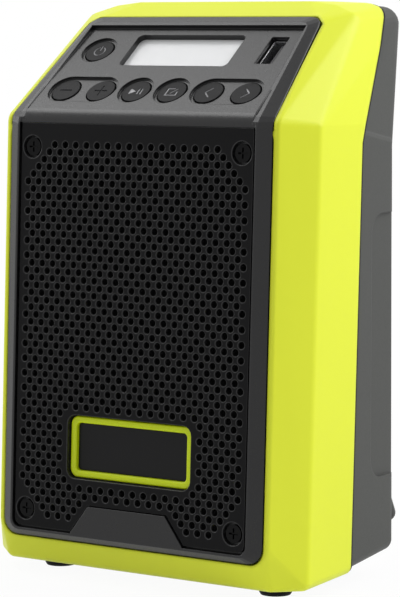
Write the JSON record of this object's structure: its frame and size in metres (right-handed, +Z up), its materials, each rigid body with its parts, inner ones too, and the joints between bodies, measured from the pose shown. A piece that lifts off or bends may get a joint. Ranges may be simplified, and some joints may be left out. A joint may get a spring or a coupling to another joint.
{
  "type": "jobsite radio",
  "caption": "Compact battery jobsite radio with a bent front: perforated speaker grille below, sloped control panel with buttons, display and socket above, battery bay at the rear.",
  "frame": {"origin": "centre of the bounding box's bottom face, on the table under the four feet", "axes": "+X is the radio's left-to-right as seen from the front, -Y is the front with the grille, +Z is up"},
  "size_m": [0.126, 0.0863, 0.1946],
  "materials": {
    "lime_plastic": "smooth moulded lime plastic",
    "grey_plastic": "fine-grained grey plastic",
    "dark_plastic": "fine-grained dark grey plastic",
    "grille_black": "black coated perforated plate",
    "cloth": "thin black acoustic cloth",
    "black_plastic": "black plastic",
    "black_steel": "blackened steel",
    "display_white": "pale glossy window",
    "bright_steel": "plated steel",
    "white_plastic": "white plastic",
    "button_rubber": "dark soft-touch rubber",
    "board_green": "green solder-masked board",
    "basket_steel": "grey painted pressed steel",
    "cone_paper": "black treated paper",
    "magnet_iron": "dark ferrite and steel",
    "black_rubber": "black soft rubber",
    "contact_brass": "plated contact strip",
    "foot_rubber": "black rubber"
  },
  "bodies": {
    "housing": {"front_shell": "lime_plastic", "rear_housing": "grey_plastic", "seam_gasket": "black_rubber", "front_bezel": "dark_plastic", "grille": "grille_black", "grille_cloth": "cloth", "badge_frame": "lime_plastic", "badge_plate": "black_plastic", "grille_screws": "black_steel", "display_lens": "display_white", "lcd_module": "black_plastic", "usb_shell": "bright_steel", "usb_tongue": "white_plastic", "control_board": "board_green", "tact_switches": "bright_steel", "board_screws": "bright_steel", "speaker_basket": "basket_steel", "speaker_surround": "black_rubber", "speaker_magnet": "magnet_iron", "speaker_gasket": "black_rubber", "speaker_screws": "bright_steel", "main_board": "board_green", "board_parts": "black_plastic", "terminal_block": "black_plastic", "terminal_blades": "contact_brass", "rubber_feet": "foot_rubber", "housing_screws": "black_steel"},
    "power": {"power_button": "button_rubber"},
    "minus": {"minus_button": "button_rubber"},
    "plus": {"plus_button": "button_rubber"},
    "play": {"play_button": "button_rubber"},
    "source": {"source_button": "button_rubber"},
    "previous": {"previous_button": "button_rubber"},
    "next": {"next_button": "button_rubber"},
    "cone": {"speaker_cone": "cone_paper", "dust_cap": "cone_paper"}
  },
  "joints": [
    {"name": "power_press", "type": "slide", "parent": "housing", "child": "power", "axis": [0, 0.6157, -0.788], "range_m": [0, 0.0008], "stiffness_N_per_m": 400},
    {"name": "minus_press", "type": "slide", "parent": "housing", "child": "minus", "axis": [0, 0.6157, -0.788], "range_m": [0, 0.0008], "stiffness_N_per_m": 400},
    {"name": "plus_press", "type": "slide", "parent": "housing", "child": "plus", "axis": [0, 0.6157, -0.788], "range_m": [0, 0.0008], "stiffness_N_per_m": 400},
    {"name": "play_press", "type": "slide", "parent": "housing", "child": "play", "axis": [0, 0.6157, -0.788], "range_m": [0, 0.0008], "stiffness_N_per_m": 400},
    {"name": "source_press", "type": "slide", "parent": "housing", "child": "source", "axis": [0, 0.6157, -0.788], "range_m": [0, 0.0008], "stiffness_N_per_m": 400},
    {"name": "previous_press", "type": "slide", "parent": "housing", "child": "previous", "axis": [0, 0.6157, -0.788], "range_m": [0, 0.0008], "stiffness_N_per_m": 400},
    {"name": "next_press", "type": "slide", "parent": "housing", "child": "next", "axis": [0, 0.6157, -0.788], "range_m": [0, 0.0008], "stiffness_N_per_m": 400},
    {"name": "cone_move", "type": "slide", "parent": "housing", "child": "cone", "axis": [0, -0.9991, 0.0419], "range_m": [-0.001, 0.001], "stiffness_N_per_m": 1200}
  ]
}
